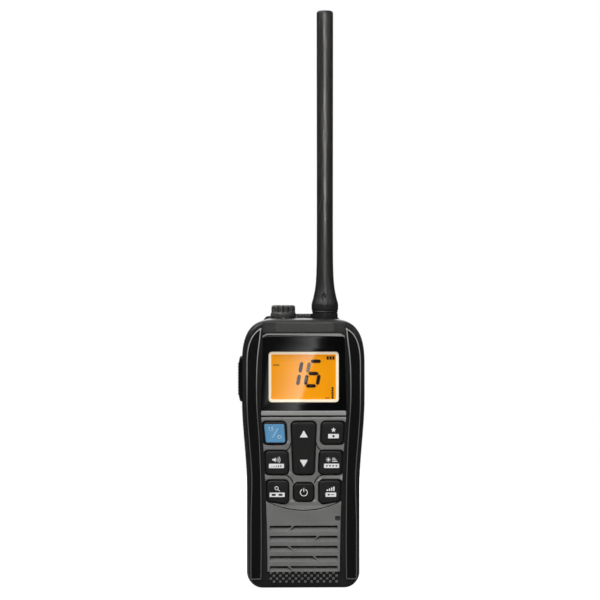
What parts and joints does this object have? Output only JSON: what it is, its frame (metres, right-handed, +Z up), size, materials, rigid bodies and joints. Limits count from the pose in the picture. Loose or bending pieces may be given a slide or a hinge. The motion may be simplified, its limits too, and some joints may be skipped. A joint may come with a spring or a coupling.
{
  "type": "vhf marine radio",
  "caption": "Hand-held marine VHF transceiver with whip antenna, fluted knob, amber display, keypad, side talk key, clip-on battery pack and sprung belt clip.",
  "frame": {"origin": "middle of the flat base that the radio stands on", "axes": "+Z up along the antenna, -Y out of the front with the display, +X to the viewer's right"},
  "size_m": [0.064, 0.0443, 0.2923],
  "materials": {
    "casing": "fine satin moulded plastic",
    "rail": "satin black grip rubber",
    "panel": "textured grey plastic",
    "top_panel": "dark grey textured plastic",
    "trim": "light grey plastic",
    "lens": "glossy black tinted window",
    "display_frame": "white printed frame",
    "display": "amber lit display",
    "backlight": "light guide",
    "key": "matte key rubber",
    "key_blue": "blue key rubber",
    "mat": "silicone",
    "board": "green circuit board",
    "chips": "moulded chip packages",
    "shield": "tinned steel",
    "steel": "zinc plated steel",
    "chassis": "die-cast",
    "gold": "gold plated brass",
    "copper": "copper",
    "cone": "polymer cone",
    "membrane": "water-shedding mesh",
    "seal": "silicone seal",
    "antenna": "satin rubber",
    "knob": "moulded plastic",
    "battery": "fine textured plastic",
    "cell": "sleeved cells"
  },
  "bodies": {
    "radio": {"front_shell": "casing", "rear_shell": "casing", "rail_left": "rail", "rail_right": "rail", "top_plate": "top_panel", "window_trim": "trim", "lens": "lens", "lcd_frame": "display_frame", "lcd_glass": "display", "backlight": "backlight", "keypad_frame": "panel", "keypad_mat": "mat", "key_domes": "steel", "key_board": "board", "grille_panel": "panel", "grille_membrane": "membrane", "speaker_frame": "steel", "speaker_cone": "cone", "speaker_magnet": "steel", "microphone": "steel", "case_gasket": "seal", "chassis": "chassis", "main_board": "board", "board_parts": "chips", "rf_shields": "shield", "antenna_socket": "gold", "antenna_collar": "antenna", "encoder_body": "steel", "encoder_nut": "steel", "ptt_switch": "chips", "jack_socket": "chips", "radio_contacts": "gold", "case_screws": "steel", "battery_case": "battery", "battery_cover": "battery", "battery_cells": "cell", "battery_contacts": "gold", "clip_bracket": "battery", "clip_pin": "steel", "clip_spring": "steel", "clip_screws": "steel", "latch_spring": "steel"},
    "knob": {"knob_cap": "knob", "encoder_shaft": "steel"},
    "antenna": {"antenna_whip": "antenna", "antenna_core": "copper", "antenna_plug": "gold"},
    "blue_key": {"key_blue": "key_blue"},
    "favourite_key": {"key_favourite": "key"},
    "volume_key": {"key_volume": "key"},
    "weather_key": {"key_weather": "key"},
    "scan_key": {"key_scan": "key"},
    "power_key": {"key_power": "key"},
    "level_key": {"key_level": "key"},
    "rocker_key": {"key_rocker": "key"},
    "talk_key": {"ptt_key": "rail"},
    "cover": {"jack_cover": "rail"},
    "latch": {"battery_latch": "battery"},
    "clip": {"clip_arm": "battery"}
  },
  "joints": [
    {"name": "blue_key_press", "type": "slide", "parent": "radio", "child": "blue_key", "axis": [0, 1, 0], "range_m": [0, 0.0008], "stiffness_N_per_m": 900},
    {"name": "favourite_key_press", "type": "slide", "parent": "radio", "child": "favourite_key", "axis": [0, 1, 0], "range_m": [0, 0.0008], "stiffness_N_per_m": 900},
    {"name": "volume_key_press", "type": "slide", "parent": "radio", "child": "volume_key", "axis": [0, 1, 0], "range_m": [0, 0.0008], "stiffness_N_per_m": 900},
    {"name": "weather_key_press", "type": "slide", "parent": "radio", "child": "weather_key", "axis": [0, 1, 0], "range_m": [0, 0.0008], "stiffness_N_per_m": 900},
    {"name": "scan_key_press", "type": "slide", "parent": "radio", "child": "scan_key", "axis": [0, 1, 0], "range_m": [0, 0.0008], "stiffness_N_per_m": 900},
    {"name": "power_key_press", "type": "slide", "parent": "radio", "child": "power_key", "axis": [0, 1, 0], "range_m": [0, 0.0008], "stiffness_N_per_m": 900},
    {"name": "level_key_press", "type": "slide", "parent": "radio", "child": "level_key", "axis": [0, 1, 0], "range_m": [0, 0.0008], "stiffness_N_per_m": 900},
    {"name": "rocker_key_tilt", "type": "hinge", "parent": "radio", "child": "rocker_key", "pos_m": [0, -0.0146, 0.07055], "axis": [1, 0, 0], "range_deg": [-3.5, 3.5], "stiffness_Nm_per_rad": 0.3},
    {"name": "talk_key_press", "type": "slide", "parent": "radio", "child": "talk_key", "axis": [1, 0, 0], "range_m": [0, 0.001], "stiffness_N_per_m": 1200},
    {"name": "knob_turn", "type": "hinge", "parent": "radio", "child": "knob", "pos_m": [-0.0097, 0.0035, 0.139], "axis": [0, 0, 1], "continuous": true},
    {"name": "antenna_lift", "type": "slide", "parent": "radio", "child": "antenna", "axis": [0, 0, 1], "range_m": [0, 0.012]},
    {"name": "cover_swing", "type": "hinge", "parent": "radio", "child": "cover", "pos_m": [0.03035, -0.0034, 0.105], "axis": [0, 0, 1], "range_deg": [0, 110]},
    {"name": "latch_slide", "type": "slide", "parent": "radio", "child": "latch", "axis": [0, 0, 1], "range_m": [0, 0.0025], "stiffness_N_per_m": 500, "deforming": ["latch_spring"]},
    {"name": "clip_swing", "type": "hinge", "parent": "radio", "child": "clip", "pos_m": [0, 0.0232, 0.117], "axis": [1, 0, 0], "range_deg": [0, 14], "stiffness_Nm_per_rad": 0.6}
  ]
}
